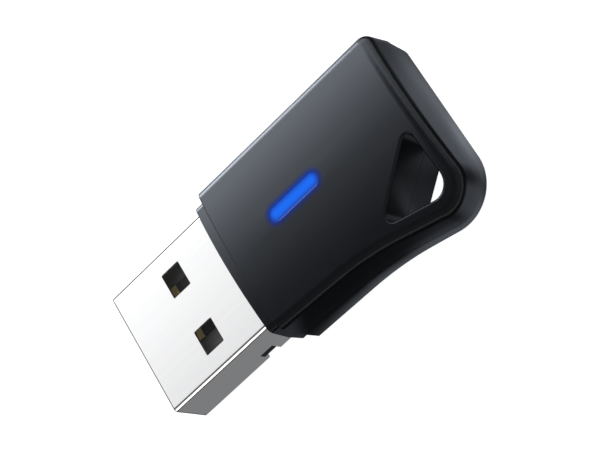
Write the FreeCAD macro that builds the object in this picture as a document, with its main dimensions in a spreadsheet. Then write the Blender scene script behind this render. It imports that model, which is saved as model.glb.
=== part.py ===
import FreeCAD, Part
import math
import os

import Sketcher

# A short plug-in wireless adapter: a metal plug, a black housing of two moulded shells with a
# status light on top, and a lanyard hole in one rear corner. Millimetres throughout.
# Frame: the origin is the centre of the plug's front opening, +X runs from the plug's mouth to
# the housing's far end, +Y is the left side and +Z is up.

V = FreeCAD.Vector
TINY = 0.001
ORIGIN_POINT = (-1, 1)

doc = FreeCAD.newDocument("wireless_adapter")
sheet = doc.addObject("Spreadsheet::Sheet", "sizes")


class Size:
    """A length and the formula that gives it. The value places the first guess of a sketch,
    and the formula ties the finished feature to the sheet."""

    def __init__(self, value, text):
        self.value = float(value)
        self.text = text

    def __add__(self, other):
        return join(self, "+", other)

    def __radd__(self, other):
        return join(other, "+", self)

    def __sub__(self, other):
        return join(self, "-", other)

    def __rsub__(self, other):
        return join(other, "-", self)

    def __mul__(self, other):
        return join(self, "*", other)

    def __rmul__(self, other):
        return join(other, "*", self)

    def __truediv__(self, other):
        return join(self, "/", other)

    def __neg__(self):
        return join(0, "-", self)


def as_size(item):
    return item if isinstance(item, Size) else Size(item, repr(float(item)))


def join(first, sign, second):
    one = as_size(first)
    two = as_size(second)
    if sign == "+":
        value = one.value + two.value
    elif sign == "-":
        value = one.value - two.value
    elif sign == "*":
        value = one.value * two.value
    else:
        value = one.value / two.value
    return Size(value, f"({one.text} {sign} {two.text})")


def root(item):
    return Size(math.sqrt(item.value), f"sqrt({item.text})")


sheet_rows = []


def size(name, value):
    """Writes one driving dimension into the sheet and gives it back by name."""
    sheet_rows.append(name)
    row = len(sheet_rows)
    sheet.set(f"A{row}", name)
    sheet.set(f"B{row}", str(value))
    sheet.setAlias(f"B{row}", name)
    return Size(value, f"sizes.{name}")


# Plug shell, to the common plug standard: 12 by 4.5 outside
plug_width = size("plug_width", 12.0)
plug_height = size("plug_height", 4.5)
plug_sheet = size("plug_sheet", 0.27)
plug_bend = size("plug_bend", 0.05)
plug_hold = size("plug_hold", 4.18)
plug_seam = size("plug_seam", 0.08)
window_start = size("window_start", 5.16)
window_length = size("window_length", 2.04)
window_width = size("window_width", 2.44)
window_spacing = size("window_spacing", 6.0)
window_corner = size("window_corner", 0.12)
notch_start = size("notch_start", 7.8)
notch_length = size("notch_length", 1.4)
notch_height = size("notch_height", 1.0)
notch_inset = size("notch_inset", 0.8)
tab_length = size("tab_length", 1.3)
tab_height = size("tab_height", 1.0)

# Insulator and contacts
slip_gap = size("slip_gap", 0.02)
tongue_start = size("tongue_start", 0.6)
tongue_drop = size("tongue_drop", 0.11)
nose_chamfer = size("nose_chamfer", 0.2)
root_start = size("root_start", 9.2)
root_inset = size("root_inset", 1.9)
contact_thickness = size("contact_thickness", 0.2)
contact_width = size("contact_width", 1.0)
contact_tail = size("contact_tail", 0.6)
contact_ramp = size("contact_ramp", 0.35)
power_start = size("power_start", 1.2)
data_start = size("data_start", 2.1)
power_from_side = size("power_from_side", 2.5)
data_spacing = size("data_spacing", 2.0)

# Housing: the walls are given from the plug, and the lengths from the collar's front
collar_front = size("collar_front", 11.15)
collar_length = size("collar_length", 1.07)
collar_wall = size("collar_wall", 0.8)
collar_lean = size("collar_lean", 0.2)
collar_cap = size("collar_cap", 0.81)
collar_sole = size("collar_sole", 0.41)
collar_crown = size("collar_crown", 37.0)
collar_round = size("collar_round", 0.65)
collar_round_low = size("collar_round_low", 0.35)
body_length = size("body_length", 20.14)
left_wall = size("left_wall", 1.55)
right_wall = size("right_wall", 1.35)
body_cap = size("body_cap", 1.27)
parting = size("parting", -0.2)
crown_radius = size("crown_radius", 40.0)
upper_lean = size("upper_lean", 0.33)
lower_lean = size("lower_lean", 0.2)
seam_step = size("seam_step", 0.03)
flare_length = size("flare_length", 10.56)
flare_swell = size("flare_swell", 0.45)
flare_radius = size("flare_radius", 30.0)
flare_tuck = size("flare_tuck", 0.25)
ear_swell = size("ear_swell", 3.1)
ear_radius = size("ear_radius", 2.9)
ear_tuck = size("ear_tuck", 0.5)
ear_radius_low = size("ear_radius_low", 4.0)
rear_left_radius = size("rear_left_radius", 1.25)
top_edge_round = size("top_edge_round", 0.95)
bottom_edge_round = size("bottom_edge_round", 0.35)
wall = size("wall", 1.1)
roof = size("roof", 1.0)
bite = size("bite", 0.3)
floor = size("floor", 1.1)
lip_thickness = size("lip_thickness", 0.45)
lip_height = size("lip_height", 0.55)
fit_gap = size("fit_gap", 0.05)
spare = size("spare", 1.0)

# Lanyard hole: a rounded triangle straight through the rear right corner
hole_rear_wall = size("hole_rear_wall", 1.63)
hole_side_wall = size("hole_side_wall", 2.07)
hole_tip_wall = size("hole_tip_wall", 0.57)
hole_length = size("hole_length", 6.48)
hole_width = size("hole_width", 6.51)
hole_apex_radius = size("hole_apex_radius", 0.55)
hole_tip_radius = size("hole_tip_radius", 0.6)
hole_corner_radius = size("hole_corner_radius", 1.45)
hole_chamfer = size("hole_chamfer", 0.15)
hole_wall = size("hole_wall", 1.0)

# Status light
light_y = size("light_y", 0.28)
light_length = size("light_length", 5.3)
light_width = size("light_width", 1.25)
light_flange = size("light_flange", 0.4)
light_flange_height = size("light_flange_height", 0.5)
light_stem_length = size("light_stem_length", 2.0)
lamp_length = size("lamp_length", 1.6)
lamp_width = size("lamp_width", 0.8)
lamp_height = size("lamp_height", 0.6)
lamp_base = size("lamp_base", 0.3)
lamp_step = size("lamp_step", 0.25)
lamp_gap = size("lamp_gap", 0.2)

# Circuit board
board_overlap = size("board_overlap", 1.7)
board_thickness = size("board_thickness", 0.8)
board_gap = size("board_gap", 0.15)
under_room = size("under_room", 1.07)
land_thickness = size("land_thickness", 0.05)
land_lead = size("land_lead", 1.4)
land_margin = size("land_margin", 0.6)
land_width = size("land_width", 1.3)
ledge_width = size("ledge_width", 0.8)
pin_diameter = size("pin_diameter", 1.1)
pin_height = size("pin_height", 0.8)
pin_from_side = size("pin_from_side", 1.2)
front_pin_setback = size("front_pin_setback", 2.6)
rear_pin_setback = size("rear_pin_setback", 1.3)
socket_wall = size("socket_wall", 0.5)
solder_length = size("solder_length", 0.45)
solder_height = size("solder_height", 0.18)
tab_solder_width = size("tab_solder_width", 0.7)
tab_solder_height = size("tab_solder_height", 0.5)
trace_width = size("trace_width", 0.3)
trace_clearance = size("trace_clearance", 0.7)
trace_margin = size("trace_margin", 0.5)
trace_from_side = size("trace_from_side", 2.55)
trace_feed = size("trace_feed", 0.2)
trace_turns = 5

# Parts on the board: setbacks are from the plug shell's end
lead_thickness = size("lead_thickness", 0.15)
lead_width = size("lead_width", 0.3)
lead_foot = size("lead_foot", 0.25)
lead_rise = size("lead_rise", 0.4)
lead_stand = size("lead_stand", 0.05)
package_bevel = size("package_bevel", 0.12)
regulator_setback = size("regulator_setback", 3.0)
regulator_from_side = size("regulator_from_side", 2.85)
regulator_width = size("regulator_width", 1.6)
regulator_length = size("regulator_length", 2.9)
regulator_height = size("regulator_height", 1.1)
regulator_span = size("regulator_span", 2.8)
regulator_pitch = size("regulator_pitch", 0.95)
protector_setback = size("protector_setback", 3.4)
protector_from_side = size("protector_from_side", 3.45)
protector_width = size("protector_width", 1.25)
protector_length = size("protector_length", 2.0)
protector_height = size("protector_height", 0.95)
protector_span = size("protector_span", 2.1)
protector_pitch = size("protector_pitch", 0.65)
memory_setback = size("memory_setback", 6.6)
memory_y = size("memory_y", 0.6)
memory_width = size("memory_width", 4.4)
memory_length = size("memory_length", 3.0)
memory_height = size("memory_height", 0.85)
memory_span = size("memory_span", 6.4)
memory_pitch = size("memory_pitch", 0.65)
radio_setback = size("radio_setback", 6.8)
radio_from_side = size("radio_from_side", 4.85)
radio_width = size("radio_width", 4.0)
radio_height = size("radio_height", 0.85)
mark_inset = size("mark_inset", 0.6)
mark_diameter = size("mark_diameter", 0.4)
crystal_setback = size("crystal_setback", 5.8)
crystal_gap = size("crystal_gap", 0.6)
crystal_length = size("crystal_length", 2.5)
crystal_width = size("crystal_width", 2.0)
crystal_tray = size("crystal_tray", 0.45)
crystal_lid = size("crystal_lid", 0.2)
crystal_border = size("crystal_border", 0.2)
inductor_setback = size("inductor_setback", 5.8)
inductor_from_side = size("inductor_from_side", 1.3)
inductor_length = size("inductor_length", 2.0)
inductor_width = size("inductor_width", 1.25)
inductor_height = size("inductor_height", 1.0)
inductor_bevel = size("inductor_bevel", 0.3)
chip_length = size("chip_length", 1.0)
chip_width = size("chip_width", 0.5)
capacitor_height = size("capacitor_height", 0.5)
resistor_height = size("resistor_height", 0.35)

doc.recompute()

# Places and levels that several pieces share
body_front = collar_front + collar_length
body_rear = body_front + body_length
plug_reach = body_front + plug_hold
collar_half = plug_width / 2 + collar_wall
collar_top = plug_height / 2 + collar_cap
collar_bottom = -(plug_height / 2 + collar_sole)
body_left = plug_width / 2 + left_wall
body_right = plug_width / 2 + right_wall
body_top = plug_height / 2 + body_cap
blank_top = body_top + spare
board_top = -(contact_thickness + land_thickness)
board_bottom = board_top - board_thickness
floor_top = board_bottom - under_room
body_bottom = floor_top - floor
cavity_front = body_front + wall
cavity_rear = body_rear - wall
cavity_left = body_left - wall
cavity_right = -(body_right - wall)
contact_end = plug_reach + contact_tail
root_end = plug_reach - root_inset
board_end = cavity_rear - board_gap

# The lanyard corner
flare_x = body_rear - flare_length
flare_y = body_right + flare_swell
ear_y = body_right + ear_swell
hole_rear = body_rear - hole_rear_wall
hole_tip_x = hole_rear - hole_length
hole_tip_y = -(body_right - hole_tip_wall)
hole_corner_y = -(ear_y - hole_side_wall)
hole_apex_y = hole_corner_y + hole_width
hole_slope = (hole_apex_y - hole_tip_y) / (hole_rear - hole_tip_x)
hole_stretch = root(1 + hole_slope * hole_slope)

# The light, and the pins that hold the board
light_x = plug_reach + fit_gap * 4 + light_flange + light_length / 2
front_pin_x = plug_reach + front_pin_setback
front_pin_y = cavity_right + pin_from_side
rear_pin_x = board_end - rear_pin_setback
rear_pin_y = cavity_left - pin_from_side
radio_x = plug_reach + radio_setback
radio_y = cavity_left - radio_from_side


def bind(item, path, length):
    """Ties a property to the sheet."""
    item.setExpression(path, as_size(length).text)


def beside_hole(distance, x):
    """The y, at a given x, of the line that runs beside the hole's slanted side."""
    return hole_apex_y + distance * hole_stretch + hole_slope * (x - hole_rear)


def beside_hole_x(distance, y):
    """The x, at a given y, of the same line."""
    return hole_rear + (y - hole_apex_y - distance * hole_stretch) / hole_slope


# Sketches

def new_body(label):
    owner = doc.addObject("PartDesign::Body", label)
    owner.Label = label
    return owner


def new_sketch(owner, name, role="XY_Plane", offset=0.0):
    """A sketch on one of the body's own planes, moved along that plane's normal."""
    drawing = owner.newObject("Sketcher::SketchObject", f"{owner.Label}_{name}")
    plane = [item for item in owner.Origin.OriginFeatures if item.Role == role][0]
    drawing.AttachmentSupport = [(plane, "")]
    drawing.MapMode = "FlatFace"
    bind(drawing, "AttachmentOffset.Base.z", offset)
    return drawing


def measure(drawing, kind, where, length):
    """Adds one dimension to a sketch, tied to the sheet."""
    given = as_size(length)
    number = drawing.addConstraint(Sketcher.Constraint(kind, *where, given.value))
    drawing.setExpression(f"Constraints[{number}]", given.text)


def pin_point(drawing, item, x, y):
    measure(drawing, "DistanceX", (*ORIGIN_POINT, *item), x)
    measure(drawing, "DistanceY", (*ORIGIN_POINT, *item), y)


def corner_arc(point, before, after, radius):
    """The arc that rounds a corner: its two ends, and whether it turns left."""
    half = before.getAngle(after) / 2
    start = point + before * (radius / math.tan(half))
    end = point + after * (radius / math.tan(half))
    centre = point + (before + after).normalize() * (radius / math.sin(half))
    left = before.cross(after).z < 0
    first, last = (start, end) if left else (end, start)
    circle = Part.Circle(centre, V(0, 0, 1), radius)
    arc = Part.ArcOfCircle(circle, circle.parameter(first), circle.parameter(last))
    return start, end, arc, left


def add_outline(drawing, corners):
    """A closed outline of straight sides. A corner is (x, y), or (x, y, radius) for a round
    one, which keeps its unrounded point as a construction point."""
    count = len(corners)
    points = [V(as_size(item[0]).value, as_size(item[1]).value, 0) for item in corners]
    starts = list(points)
    ends = list(points)
    arcs = {}
    for index, item in enumerate(corners):
        if len(item) == 3:
            before = (points[index - 1] - points[index]).normalize()
            after = (points[(index + 1) % count] - points[index]).normalize()
            made = corner_arc(points[index], before, after, as_size(item[2]).value)
            starts[index], ends[index] = made[0], made[1]
            arcs[index] = made
    sides = [
        drawing.addGeometry(Part.LineSegment(ends[index], starts[(index + 1) % count]), False)
        for index in range(count)
    ]
    for index, item in enumerate(corners):
        before, after = sides[index - 1], sides[index]
        if index not in arcs:
            drawing.addConstraint(Sketcher.Constraint("Coincident", before, 2, after, 1))
            pin_point(drawing, (after, 1), item[0], item[1])
            continue
        arc = drawing.addGeometry(arcs[index][2], False)
        near, far = (1, 2) if arcs[index][3] else (2, 1)
        drawing.addConstraint(Sketcher.Constraint("Tangent", before, 2, arc, near))
        drawing.addConstraint(Sketcher.Constraint("Tangent", after, 1, arc, far))
        measure(drawing, "Radius", (arc,), item[2])
        mark = drawing.addGeometry(Part.Point(points[index]), True)
        pin_point(drawing, (mark, 1), item[0], item[1])
        drawing.addConstraint(Sketcher.Constraint("PointOnObject", mark, 1, before))
        drawing.addConstraint(Sketcher.Constraint("PointOnObject", mark, 1, after))


def add_rectangle(drawing, x_low, x_high, y_low, y_high, radius=None):
    rounding = () if radius is None else (radius,)
    corners = [(x_low, y_low), (x_high, y_low), (x_high, y_high), (x_low, y_high)]
    add_outline(drawing, [corner + rounding for corner in corners])


def add_circle(drawing, x, y, diameter):
    circle = Part.Circle(V(as_size(x).value, as_size(y).value, 0), V(0, 0, 1), diameter.value / 2)
    number = drawing.addGeometry(circle, False)
    pin_point(drawing, (number, 3), x, y)
    measure(drawing, "Radius", (number,), diameter / 2)


def add_slot(drawing, x, y, length, width):
    """A slot with round ends, along the sketch's first axis."""
    radius = width / 2
    ends = (x - (length - width) / 2, x + (length - width) / 2)
    rear, front = (V(end.value, y.value, 0) for end in ends)
    up = V(0, radius.value, 0)
    quarter = math.pi / 2
    top = drawing.addGeometry(Part.LineSegment(front + up, rear + up), False)
    low = drawing.addGeometry(Part.LineSegment(rear - up, front - up), False)
    turns = []
    for centre, angle in ((rear, quarter), (front, -quarter)):
        circle = Part.Circle(centre, V(0, 0, 1), radius.value)
        arc = Part.ArcOfCircle(circle, angle, angle + math.pi)
        turns.append(drawing.addGeometry(arc, False))
    drawing.addConstraint(Sketcher.Constraint("Tangent", top, 2, turns[0], 1))
    drawing.addConstraint(Sketcher.Constraint("Tangent", turns[0], 2, low, 1))
    drawing.addConstraint(Sketcher.Constraint("Tangent", low, 2, turns[1], 1))
    drawing.addConstraint(Sketcher.Constraint("Tangent", turns[1], 2, top, 1))
    drawing.addConstraint(Sketcher.Constraint("Equal", turns[0], turns[1]))
    measure(drawing, "Radius", (turns[0],), radius)
    for turn, end in zip(turns, ends):
        pin_point(drawing, (turn, 3), end, y)


def add_crowned(drawing, left, right, level, top, radius, lean=0.0):
    """A section between a straight line at one level and a crowned line: the solid under the
    crown, or the waste above it. The sides lean in by lean, and the crown's centre lies on the
    sketch's own upright axis."""
    centre = V(0, (top - radius).value, 0)
    reach = [as_size(left + lean), as_size(right - lean)]
    rises = [math.sqrt(radius.value**2 - side.value**2) for side in reach]
    high_left, high_right = (
        centre + V(side.value, rise, 0) for side, rise in zip(reach, rises)
    )
    low_left = V(left.value, as_size(level).value, 0)
    low_right = V(right.value, as_size(level).value, 0)
    base = drawing.addGeometry(Part.LineSegment(low_left, low_right), False)
    side_right = drawing.addGeometry(Part.LineSegment(low_right, high_right), False)
    circle = Part.Circle(centre, V(0, 0, 1), radius.value)
    arc = Part.ArcOfCircle(circle, circle.parameter(high_right), circle.parameter(high_left))
    crown = drawing.addGeometry(arc, False)
    side_left = drawing.addGeometry(Part.LineSegment(high_left, low_left), False)
    loop = [base, side_right, crown, side_left]
    for first, second in zip(loop, loop[1:] + loop[:1]):
        drawing.addConstraint(Sketcher.Constraint("Coincident", first, 2, second, 1))
    pin_point(drawing, (base, 1), left, level)
    pin_point(drawing, (base, 2), right, level)
    measure(drawing, "DistanceX", (*ORIGIN_POINT, side_right, 2), reach[1])
    measure(drawing, "DistanceX", (*ORIGIN_POINT, side_left, 1), reach[0])
    drawing.addConstraint(Sketcher.Constraint("PointOnObject", crown, 3, -2))
    measure(drawing, "DistanceY", (*ORIGIN_POINT, crown, 3), top - radius)
    measure(drawing, "Radius", (crown,), radius)


# Features

def extrude(kind, drawing, length, backwards=False, both_ways=False):
    """A Pad or Pocket of a sketch, which has to add or remove material."""
    owner = drawing.getParentGeoFeatureGroup()
    before = owner.Shape.Volume if owner.Tip else 0.0
    feature = owner.newObject(f"PartDesign::{kind}", f"{drawing.Label}_{kind.lower()}")
    feature.Profile = drawing
    feature.Reversed = backwards
    if both_ways:
        feature.SideType = "Symmetric"
    bind(feature, "Length", length)
    drawing.Visibility = False
    doc.recompute()
    gain = owner.Shape.Volume - before
    if (gain if kind == "Pad" else -gain) < TINY:
        raise RuntimeError(f"{feature.Label} changed nothing")
    return feature


def pad(drawing, length, **options):
    return extrude("Pad", drawing, length, **options)


def pocket(drawing, length, **options):
    return extrude("Pocket", drawing, length, **options)


def loft_between(owner, first, second):
    """A solid with straight sides between two outlines of like shape."""
    loft = owner.newObject("PartDesign::AdditiveLoft", f"{owner.Label}_loft")
    loft.Profile = first
    loft.Sections = [second]
    loft.Ruled = True
    first.Visibility = False
    second.Visibility = False
    doc.recompute()


def dress(owner, kind, chosen, length):
    """A Fillet or Chamfer on the edges that the test chooses."""
    base = owner.Tip
    names = [f"Edge{n}" for n, edge in enumerate(base.Shape.Edges, 1) if chosen(edge)]
    if not names:
        raise RuntimeError(f"{owner.Label} has no edge for its {kind}")
    feature = owner.newObject(f"PartDesign::{kind}", f"{base.Label}_{kind.lower()}")
    feature.Base = (base, names)
    bind(feature, "Radius" if kind == "Fillet" else "Size", length)
    doc.recompute()
    return feature


def is_one_of(edge, edges):
    return any(edge.isSame(other) for other in edges)


def highest_face(shape):
    return max(shape.Faces, key=lambda face: face.CenterOfMass.z)


def lowest_face(shape):
    return min(shape.Faces, key=lambda face: face.CenterOfMass.z)


def inner_edges(face):
    """The edges round the openings in a face."""
    return [edge for wire in face.Wires if not wire.isSame(face.OuterWire) for edge in wire.Edges]


def behind(edge, x):
    return edge.BoundBox.XMax > x.value + TINY


# Outlines that both covers share

def housing_outline(drawing, inset, flare_inset, ear_inset, flare, ear):
    """The housing in plan: straight on the left and at both ends, with the right side swelling
    into the lanyard corner."""
    rear = body_rear - inset
    add_outline(drawing, [
        (body_front, body_left - inset),
        (body_front, -(body_right - inset)),
        (flare_x, -(flare_y - inset - flare_inset), flare),
        (rear, -(ear_y - inset - ear_inset), ear),
        (rear, body_left - inset, rear_left_radius - inset),
    ])


def hole_outline(drawing):
    add_outline(drawing, [
        (hole_rear, hole_apex_y, hole_apex_radius),
        (hole_tip_x, hole_tip_y, hole_tip_radius),
        (hole_rear, hole_corner_y, hole_corner_radius),
    ])


def boss_outline(drawing):
    """The solid corner round the hole, reaching into the rear and right walls."""
    rear = cavity_rear + bite
    side = cavity_right - bite
    add_outline(drawing, [
        (rear, beside_hole(hole_wall, rear)),
        (beside_hole_x(hole_wall, side), side),
        (rear, side),
    ])


def lip_outlines(drawing, gap):
    """The locating lip along the walls, left out at the plug and at the lanyard corner."""
    front = cavity_front + wall / 2
    outer_left = cavity_left + lip_thickness
    outer_right = cavity_right - lip_thickness
    outer_rear = cavity_rear + lip_thickness
    stop_x = beside_hole_x(hole_wall + fit_gap * 4, outer_right)
    stop_y = beside_hole(hole_wall + fit_gap * 4, outer_rear)
    add_rectangle(drawing, front - gap, stop_x + gap, outer_right - gap, cavity_right + gap)
    add_outline(drawing, [
        (front - gap, outer_left + gap),
        (front - gap, cavity_left - gap),
        (cavity_rear - gap, cavity_left - gap),
        (cavity_rear - gap, stop_y - gap),
        (outer_rear + gap, stop_y - gap),
        (outer_rear + gap, outer_left + gap),
    ])


def pin_circles(drawing, diameter):
    add_circle(drawing, front_pin_x, front_pin_y, diameter)
    add_circle(drawing, rear_pin_x, rear_pin_y, diameter)


# Housing shells

def make_top_core():
    """The mould's core, which shapes the top cover's inside: it keeps clear of the corner boss
    and of the sockets that take the pins, so both reach the crowned roof."""
    core = new_body("top_core")
    cavity = new_sketch(core, "cavity", "YZ_Plane", cavity_front)
    add_crowned(cavity, cavity_right, cavity_left, parting, body_top - roof, crown_radius - roof)
    pad(cavity, cavity_rear - cavity_front)
    boss = new_sketch(core, "boss", offset=parting - spare)
    boss_outline(boss)
    pocket(boss, blank_top - parting + spare, backwards=True)
    sockets = new_sketch(core, "sockets", offset=board_top + fit_gap)
    pin_circles(sockets, pin_diameter + socket_wall * 2)
    pocket(sockets, blank_top - board_top, backwards=True)
    return core


def make_top_cover():
    owner = new_body("top_cover")
    lower = new_sketch(owner, "plan", offset=parting)
    housing_outline(lower, as_size(0), as_size(0), as_size(0), flare_radius, ear_radius)
    upper = new_sketch(owner, "lid", offset=blank_top)
    housing_outline(upper, upper_lean, as_size(0), as_size(0), flare_radius,
                    ear_radius - upper_lean)
    loft_between(owner, lower, upper)

    waste = new_sketch(owner, "crown", "YZ_Plane", body_front - spare)
    add_crowned(waste, -(ear_y + spare), body_left + spare, blank_top + spare, body_top,
                crown_radius)
    pocket(waste, body_length + spare * 2, backwards=True)
    rim = highest_face(owner.Tip.Shape).Edges
    dress(owner, "Fillet", lambda edge: is_one_of(edge, rim) and behind(edge, body_front),
          top_edge_round)

    collar = new_sketch(owner, "collar", "YZ_Plane", collar_front)
    add_crowned(collar, -collar_half, collar_half, parting, collar_top, collar_crown, collar_lean)
    pad(collar, collar_length + wall / 2)
    dress(owner, "Fillet", is_collar_shoulder, collar_round)

    cavity = owner.newObject("PartDesign::Boolean", "top_cavity")
    cavity.Type = "Cut"
    cavity.setObjects([make_top_core()])
    doc.recompute()
    channel = new_sketch(owner, "channel", "YZ_Plane", collar_front - spare)
    half = plug_width / 2 + slip_gap
    add_rectangle(channel, -half, half, parting - spare, plug_height / 2 + slip_gap)
    pocket(channel, plug_reach + fit_gap - collar_front + spare, backwards=True)
    rebate = new_sketch(owner, "rebate", offset=parting)
    lip_outlines(rebate, fit_gap)
    pocket(rebate, lip_height + fit_gap, backwards=True)

    bores = new_sketch(owner, "bores", offset=board_top - fit_gap)
    pin_circles(bores, pin_diameter + fit_gap)
    pocket(bores, pin_height + fit_gap * 4, backwards=True)

    hole = new_sketch(owner, "lanyard_hole", offset=blank_top)
    hole_outline(hole)
    pocket(hole, blank_top - parting + spare)
    slot = new_sketch(owner, "light_slot", offset=blank_top)
    add_slot(slot, light_x, light_y, light_length, light_width)
    pocket(slot, roof + spare + light_flange_height)
    rim = [edge for edge in inner_edges(highest_face(owner.Tip.Shape))
           if edge.BoundBox.XMax > hole_tip_x.value and edge.CenterOfMass.y < hole_apex_y.value]
    dress(owner, "Chamfer", lambda edge: is_one_of(edge, rim), hole_chamfer)
    return owner


def is_collar_shoulder(edge):
    """The two long edges where the collar's crown meets its sides."""
    box = edge.BoundBox
    ahead = box.XMin < collar_front.value + TINY < box.XMax - 0.1
    return ahead and box.ZMin > plug_height.value / 2 - 1 and box.YLength < TINY


def make_bottom_cover():
    owner = new_body("bottom_cover")
    upper = new_sketch(owner, "plan", offset=parting)
    housing_outline(upper, seam_step, as_size(0), as_size(0), flare_radius, ear_radius)
    lower = new_sketch(owner, "base", offset=body_bottom)
    housing_outline(lower, seam_step + lower_lean, flare_tuck, ear_tuck, flare_radius,
                    ear_radius_low)
    loft_between(owner, upper, lower)
    rim = lowest_face(owner.Tip.Shape).Edges
    dress(owner, "Fillet", lambda edge: is_one_of(edge, rim) and behind(edge, body_front),
          bottom_edge_round)

    collar = new_sketch(owner, "collar", "YZ_Plane", collar_front)
    half = collar_half - seam_step
    low = half - collar_lean
    add_outline(collar, [
        (-half, parting),
        (-low, collar_bottom, collar_round_low),
        (low, collar_bottom, collar_round_low),
        (half, parting),
    ])
    pad(collar, collar_length + wall / 2)

    cavity = new_sketch(owner, "cavity", offset=parting)
    add_rectangle(cavity, cavity_front, cavity_rear, cavity_right, cavity_left)
    pocket(cavity, parting - floor_top)
    channel = new_sketch(owner, "channel", "YZ_Plane", collar_front - spare)
    half = plug_width / 2 + slip_gap
    add_rectangle(channel, -half, half, -(plug_height / 2 + slip_gap), parting + spare)
    pocket(channel, plug_reach + fit_gap - collar_front + spare, backwards=True)

    ledges = new_sketch(owner, "ledges", offset=floor_top - floor / 2)
    start = plug_reach + tab_length
    side = cavity_right - wall / 2
    add_rectangle(ledges, start, beside_hole_x(hole_wall / 2, cavity_right), side,
                  cavity_right + ledge_width)
    add_rectangle(ledges, start, cavity_rear + wall / 2, cavity_left - ledge_width,
                  cavity_left + wall / 2)
    pad(ledges, board_bottom - floor_top + floor / 2)
    pins = new_sketch(owner, "pins", offset=floor_top - floor / 2)
    pin_circles(pins, pin_diameter)
    pad(pins, board_top + pin_height - floor_top + floor / 2)

    boss = new_sketch(owner, "boss", offset=floor_top - floor / 2)
    boss_outline(boss)
    pad(boss, parting - floor_top + floor / 2)
    hole = new_sketch(owner, "lanyard_hole", offset=body_bottom - spare)
    hole_outline(hole)
    pocket(hole, parting - body_bottom + spare * 2, backwards=True)
    rim = inner_edges(lowest_face(owner.Tip.Shape))
    dress(owner, "Chamfer", lambda edge: is_one_of(edge, rim), hole_chamfer)

    lip = new_sketch(owner, "lip", offset=parting - wall / 2)
    lip_outlines(lip, as_size(0))
    pad(lip, lip_height + wall / 2)
    return owner


def make_light_guide():
    """A clear bar: its top face is flush with the cover, a flange lies under the roof, and a
    stem reaches down to the lamp."""
    owner = new_body("light_guide")
    inner_roof = body_top - roof - fit_gap
    flange = new_sketch(owner, "flange", offset=inner_roof - light_flange_height)
    wide = light_flange * 2
    add_slot(flange, light_x, light_y, light_length + wide, light_width + wide)
    pad(flange, light_flange_height)
    bar = new_sketch(owner, "bar", offset=inner_roof - light_flange_height / 2)
    add_slot(bar, light_x, light_y, light_length - slip_gap * 2, light_width - slip_gap * 2)
    pad(bar, roof + light_flange_height / 2 + fit_gap + spare)
    waste = new_sketch(owner, "crown", "YZ_Plane", light_x - light_length)
    add_crowned(waste, light_y - light_width, light_y + light_width, blank_top + spare,
                body_top, crown_radius)
    pocket(waste, light_length * 2, backwards=True)
    stem = new_sketch(owner, "stem", offset=board_top + lamp_height + lamp_gap)
    add_slot(stem, light_x, light_y, light_stem_length, light_width)
    pad(stem, inner_roof - light_flange_height / 2 - board_top - lamp_height - lamp_gap)
    return owner


# Plug

def make_plug_shell():
    """One folded sheet: a closed box section with a seam underneath, two latch windows above
    and below, a notch in each lower corner, and a tab on each side for the board."""
    owner = new_body("plug_shell")
    section = new_sketch(owner, "section", "YZ_Plane")
    half = plug_width / 2
    rise = plug_height / 2
    add_rectangle(section, -half, half, -rise, rise, plug_bend + plug_sheet)
    inner_half = half - plug_sheet
    inner_rise = rise - plug_sheet
    add_rectangle(section, -inner_half, inner_half, -inner_rise, inner_rise, plug_bend)
    pad(section, plug_reach)

    windows = new_sketch(owner, "windows", offset=rise + spare)
    for side in (-1, 1):
        centre = window_spacing * side / 2
        add_rectangle(windows, window_start, window_start + window_length,
                      centre - window_width / 2, centre + window_width / 2, window_corner)
    pocket(windows, plug_height + spare * 2)
    notches = new_sketch(owner, "notches", offset=-rise - spare)
    notch_end = notch_start + notch_length
    add_rectangle(notches, notch_start, notch_end, half - notch_inset, half + spare)
    add_rectangle(notches, notch_start, notch_end, -half - spare, notch_inset - half)
    pocket(notches, notch_height + spare, backwards=True)
    seam = new_sketch(owner, "seam", offset=-rise - spare)
    add_rectangle(seam, -spare, plug_reach + spare, -plug_seam / 2, plug_seam / 2)
    pocket(seam, plug_sheet + spare * 1.5, backwards=True)

    tabs = new_sketch(owner, "tabs", "YZ_Plane", plug_reach)
    add_rectangle(tabs, inner_half, half, board_top, board_top + tab_height)
    add_rectangle(tabs, -half, -inner_half, board_top, board_top + tab_height)
    pad(tabs, tab_length)
    return owner


power_y = plug_width / 2 - power_from_side
data_y = data_spacing / 2
contact_places = {
    "contact_power": (-power_y, power_start),
    "contact_data_minus": (-data_y, data_start),
    "contact_data_plus": (data_y, data_start),
    "contact_ground": (power_y, power_start),
}


def make_plug_insulator():
    """The tongue that carries the contacts and the block that closes the back of the plug."""
    owner = new_body("plug_insulator")
    half = plug_width / 2 - plug_sheet - slip_gap
    rise = plug_height / 2 - plug_sheet - slip_gap
    tongue = new_sketch(owner, "tongue", "YZ_Plane", tongue_start)
    add_rectangle(tongue, -half, half, -rise, -tongue_drop)
    pad(tongue, root_end - tongue_start)
    dress(owner, "Chamfer", lambda edge: edge.BoundBox.XMax < tongue_start.value + TINY,
          nose_chamfer)
    block = new_sketch(owner, "block", "YZ_Plane", root_start)
    add_rectangle(block, -half, half, -rise, rise)
    pad(block, root_end - root_start)
    grooves = new_sketch(owner, "grooves", "YZ_Plane", power_start - fit_gap)
    reach = contact_width / 2 + slip_gap
    for y, start in contact_places.values():
        add_rectangle(grooves, y - reach, y + reach, -contact_thickness, 0)
    pocket(grooves, root_end - power_start + spare, backwards=True)
    return owner


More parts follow.
